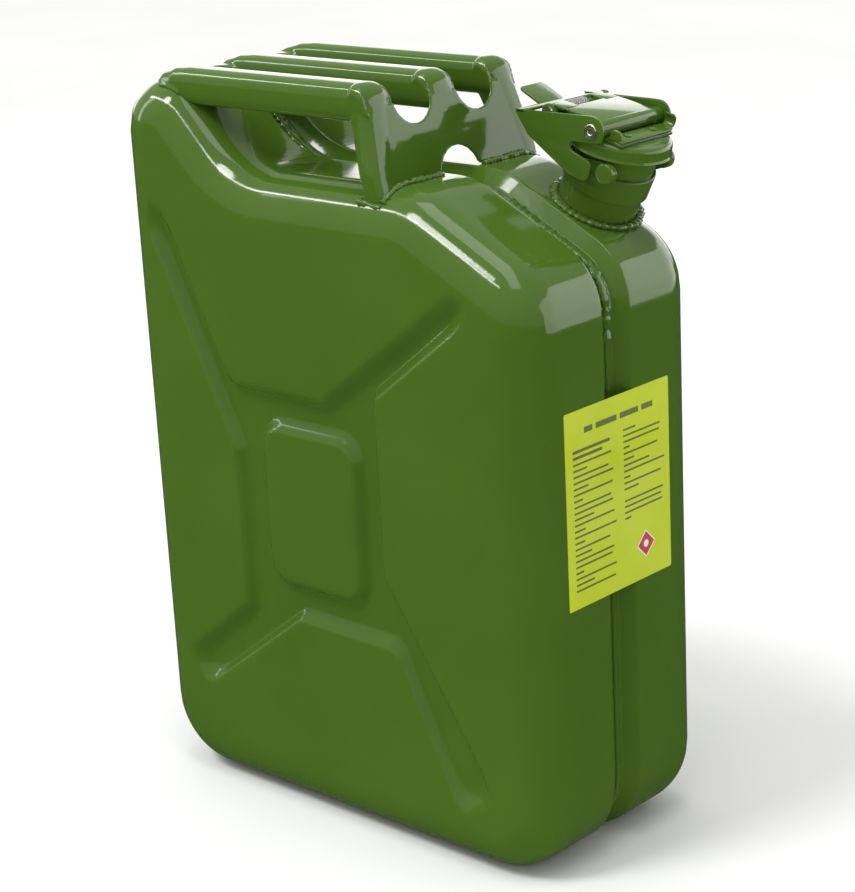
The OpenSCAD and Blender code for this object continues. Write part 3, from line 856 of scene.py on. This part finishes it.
# ---------------------------------------------------------------- lever
def build_lever(paint, steel):
    top = 461.5
    px, pz = LEVER_PIN
    front = top - pz
    profile = rounded(
        [(90.5, top), (px, top)], [0, 0]) + arc(px, pz, front, 90, -48, 14)
    profile += rounded([(px + 3.4, pz - 7.2), (131.2, 445.6), (131.2, 440.4), (146.6, 433.6), (142.6, 421.6),
                        (129, 425.6), (99, 446.6), (90.5, 459.4)], [0, 3.2, 3.2, 3.4, 4, 5, 4, 0], 6)
    parts = []
    for side in (-1, 1):
        parts.append(slab(profile, 31.4, 33.2, lambda u, v, w, s=side: Vector((u, NECK_Y + s * w, v))))
    parts.append(slab([(90.5, -33.2), (97, -33.2), (97, 33.2), (90.5, 33.2)], top - 1.8, top,
                      lambda u, v, w: Vector((u, NECK_Y + v, w))))
    rise = math.radians(28)

    def tab_place(u, v, w):
        return Vector((91.5 - u * math.cos(rise) + w * math.sin(rise), NECK_Y + v,
                       top - 1.8 + u * math.sin(rise) + w * math.cos(rise)))

    tab = rounded([(-2, -11), (19.6, -11), (19.6, 11), (-2, 11)], [0.5, 3, 3, 0.5], 5, cyclic=True)
    parts.append(slab(tab, 0, 1.8, tab_place))
    lever = mesh_piece("closing_lever", *joined(*parts), paint, "lever", "cam_lever")
    soften(lever, 0.5)

    cheek = 33.2
    profile = [(1.9, -cheek - 1.1), (4.2, -cheek - 1.1), (4.5, -cheek - 0.5), (4.3, -cheek), (3, -cheek)]
    profile = profile + [(r, -h) for r, h in profile[::-1]]
    inner = [(1.7, cheek), (1.7, -cheek)]
    rivet = lathe(rounded(profile + inner, [0.4] * 4 + [0] * 2 + [0.4] * 4 + [0] * 2, 2, cyclic=True),
                  lambda u, v, w: Vector((px + u, NECK_Y + w, pz + v)), 40)
    mesh_piece("hollow_rivet", *rivet, steel, "lever", "lever_pin", slot="bright_steel", sharp=50)


# ---------------------------------------------------------------- sticker
def build_sticker(yellow, ink, red, white):
    low, high = box_mm("warning_label")
    width, height = high[1] - low[1], high[2] - low[2]

    def place(u, v, w):
        return Vector((low[0] + w, low[1] + u, low[2] + v))

    sheet = rounded([(0, 0), (width, 0), (width, height), (0, height)], [1.2] * 4, 4, cyclic=True)
    parts = [(slab(sheet, 0, 0.3, place), 0)]

    def bar(u0, u1, v, tall):
        parts.append((slab([(u0, v), (u1, v), (u1, v + tall), (u0, v + tall)], 0.25, 0.34, place), 1))

    for start, end in ((18, 26), (29, 49), (52, 70), (73, 84)):
        bar(start, end, height - 15.2, 3.6)
    left = [38, 30, 39, 14, 36, 41, 15, 40, 9, 38, 40, 20, 41, 11, 43, 10, 36, 17, 40, 38, 8, 42, 19, 41]
    for i, length in enumerate(left):
        bar(7, 7 + length * 0.92, height - 26 - i * 3.75, 1.25 if i > 1 else 1.9)
    right = [12, 36, 35, 6, 33, 10, 25, 40, 6, 36, 14, 0, 38, 36, 37, 6]
    for i, length in enumerate(right):
        if length:
            bar(55, 55 + length, height - 24 - i * 3.75, 1.25)

    def diamond(r, low_w, high_w, index):
        shape = [(75 + r, 22), (75, 22 + r), (75 - r, 22), (75, 22 - r)]
        parts.append((slab(shape, low_w, high_w, place), index))

    diamond(9, 0.25, 0.33, 3)
    diamond(7.9, 0.3, 0.36, 2)
    parts.append((slab(arc(75, 22, 2.4, 0, 345, 23), 0.33, 0.39, place), 3))
    label = mesh_piece("sticker", *joined(*[p for p, _ in parts]), [yellow, ink, red, white], "can",
                       "warning_label", slot="yellow_sticker", sharp=30)
    index = [i for (_, f), i in parts for _ in f]
    if len(index) == len(label.data.polygons):
        label.data.polygons.foreach_set("material_index", index)


# ---------------------------------------------------------------- all of it
def dress(node, material):
    """Gives a CAD node that stays its finished material."""
    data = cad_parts[node].data
    data.materials.clear()
    data.materials.append(material)


build_camera()
build_studio()
build_floor()
paint = paint_material("green_paint", (0.054, 0.117, 0.011), (0.064, 0.134, 0.014))
bead_paint = paint_material("green_paint_beads", (0.045, 0.105, 0.01), (0.062, 0.132, 0.014), (0.05, 0.1))
steel = metal_material("bright_steel", (0.62, 0.62, 0.6), (0.8, 0.8, 0.78), (0.12, 0.3))
wire = metal_material("spring_steel", (0.25, 0.25, 0.24), (0.42, 0.42, 0.4), (0.2, 0.38))
build_shells(paint)
build_seam(bead_paint)
build_handle(paint)
build_neck(paint)
build_lid(paint)
build_lever(paint, steel)
build_sticker(
    sticker_material("yellow_sticker", (0.47, 0.58, 0.002), (0.54, 0.65, 0.004)),
    sticker_material("grey_ink", (0.1, 0.13, 0.02), (0.14, 0.17, 0.03)),
    sticker_material("red_ink", (0.45, 0.03, 0.03), (0.52, 0.05, 0.04)),
    sticker_material("white_ink", (0.7, 0.7, 0.68), (0.78, 0.78, 0.76)),
)
for name in ("neck_tube", "breather_tube", "breather_clip", "gasket_retainer"):
    dress(name, paint)
dress("hinge_pin", steel)
dress("hinge_spring", wire)
dress("lid_gasket", rubber_material())
